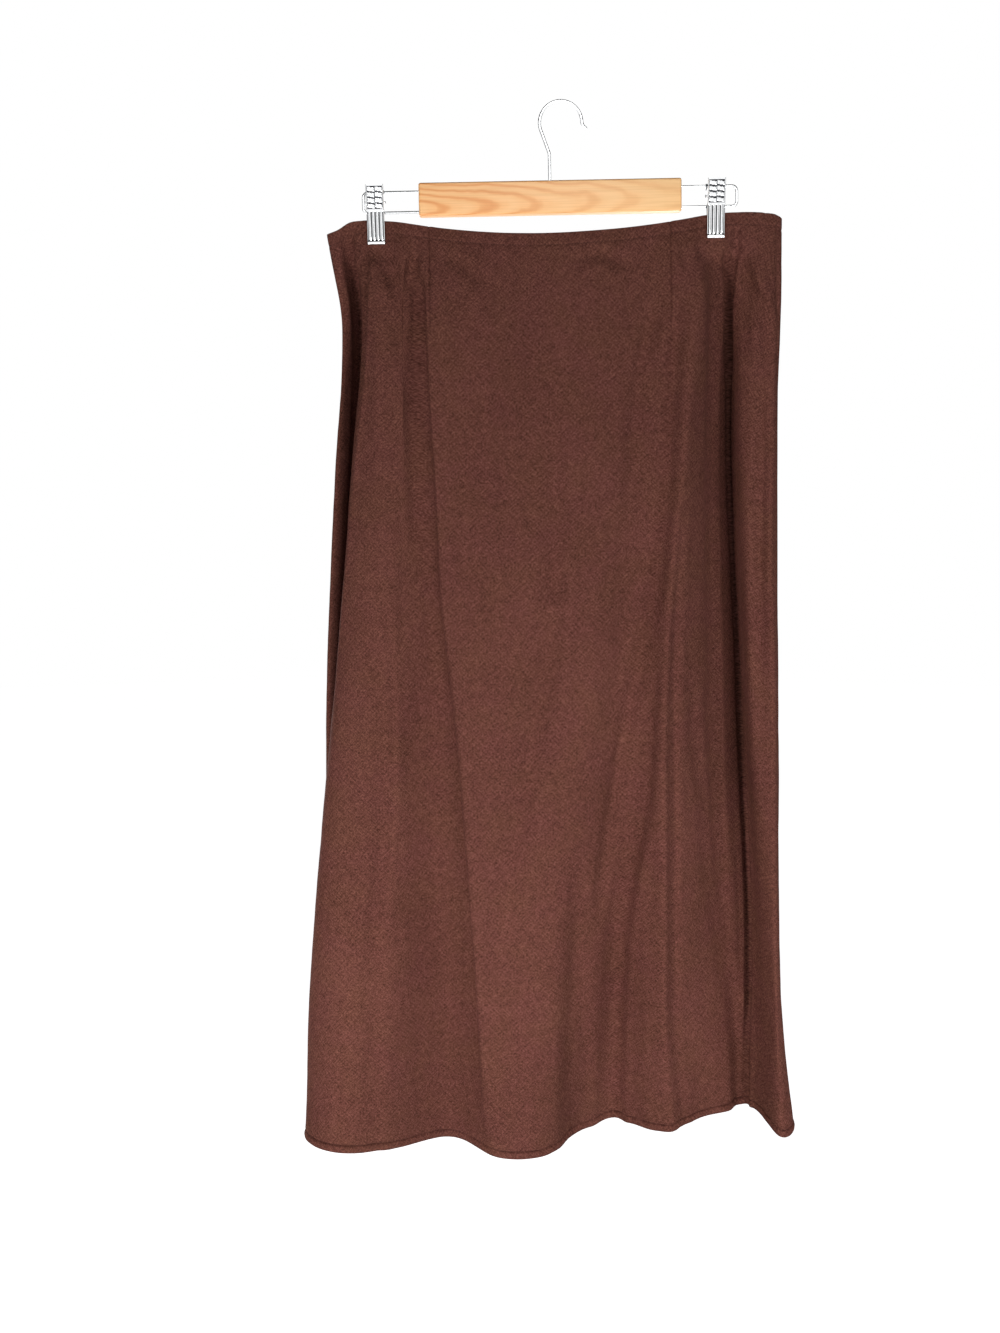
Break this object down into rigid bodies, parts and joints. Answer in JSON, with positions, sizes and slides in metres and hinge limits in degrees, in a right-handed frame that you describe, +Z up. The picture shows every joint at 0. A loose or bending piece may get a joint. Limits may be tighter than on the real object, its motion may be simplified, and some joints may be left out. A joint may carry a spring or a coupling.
{
  "type": "a-line midi skirt on a clip hanger",
  "caption": "Flared midi skirt in plain woven cloth, darted at the waist, hung by its waist edge from a wooden bar hanger with sprung metal clips and a wire hook.",
  "frame": {"origin": "the inside top of the hook, where it sits on a rail", "axes": "+Z up, +X to the right of a viewer who faces the skirt's front, -Y out of the front"},
  "size_m": [0.4934, 0.136, 1.0142],
  "materials": {
    "cloth": "matte, fine diagonal weave with small slubs",
    "zip_tape": "matte tape",
    "zip_metal": "brown enamel",
    "wood": "clear satin lacquer",
    "chrome": "bright plating",
    "spring_steel": "drawn wire"
  },
  "bodies": {
    "root": {"front_panel": "cloth", "back_panel": "cloth", "waist_turn_front": "cloth", "waist_turn_back": "cloth", "hem_turn_front": "cloth", "hem_turn_back": "cloth", "side_zip_tape": "zip_tape", "side_zip_slider": "zip_metal", "hanger_bar": "wood", "hanger_hook": "chrome", "wire_loop_left": "chrome", "wire_loop_right": "chrome", "clip_left_front_jaw": "chrome", "clip_left_back_jaw": "chrome", "clip_left_pin": "chrome", "clip_left_spring": "spring_steel", "clip_right_front_jaw": "chrome", "clip_right_back_jaw": "chrome", "clip_right_pin": "chrome", "clip_right_spring": "spring_steel"}
  },
  "joints": []
}
